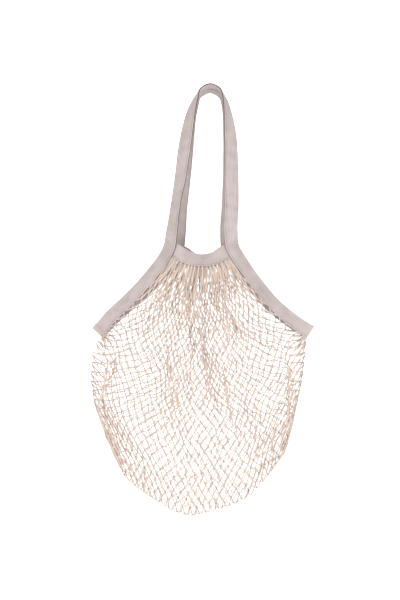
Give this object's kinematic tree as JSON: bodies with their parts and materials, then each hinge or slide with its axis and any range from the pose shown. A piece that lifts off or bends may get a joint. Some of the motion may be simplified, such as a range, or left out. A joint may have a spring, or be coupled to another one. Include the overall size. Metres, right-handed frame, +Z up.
{
  "type": "string shopping bag",
  "caption": "Hanging cotton net shopping bag with long folded-tape handles, taped side bindings, short rim bands and a rounded open-mesh body.",
  "frame": {"origin": "the hang point: underside of the two handles, side by side at the top", "axes": "+Z up, +X to the right seen from the front, -Y towards the front"},
  "size_m": [0.3914, 0.086, 0.7486],
  "materials": {
    "tape": "matt knitted cotton",
    "net": "matt twisted cotton string"
  },
  "bodies": {
    "root": {"strap_loop": "tape", "front_rim_band": "tape", "back_rim_band": "tape", "net_body": "net"}
  },
  "joints": []
}
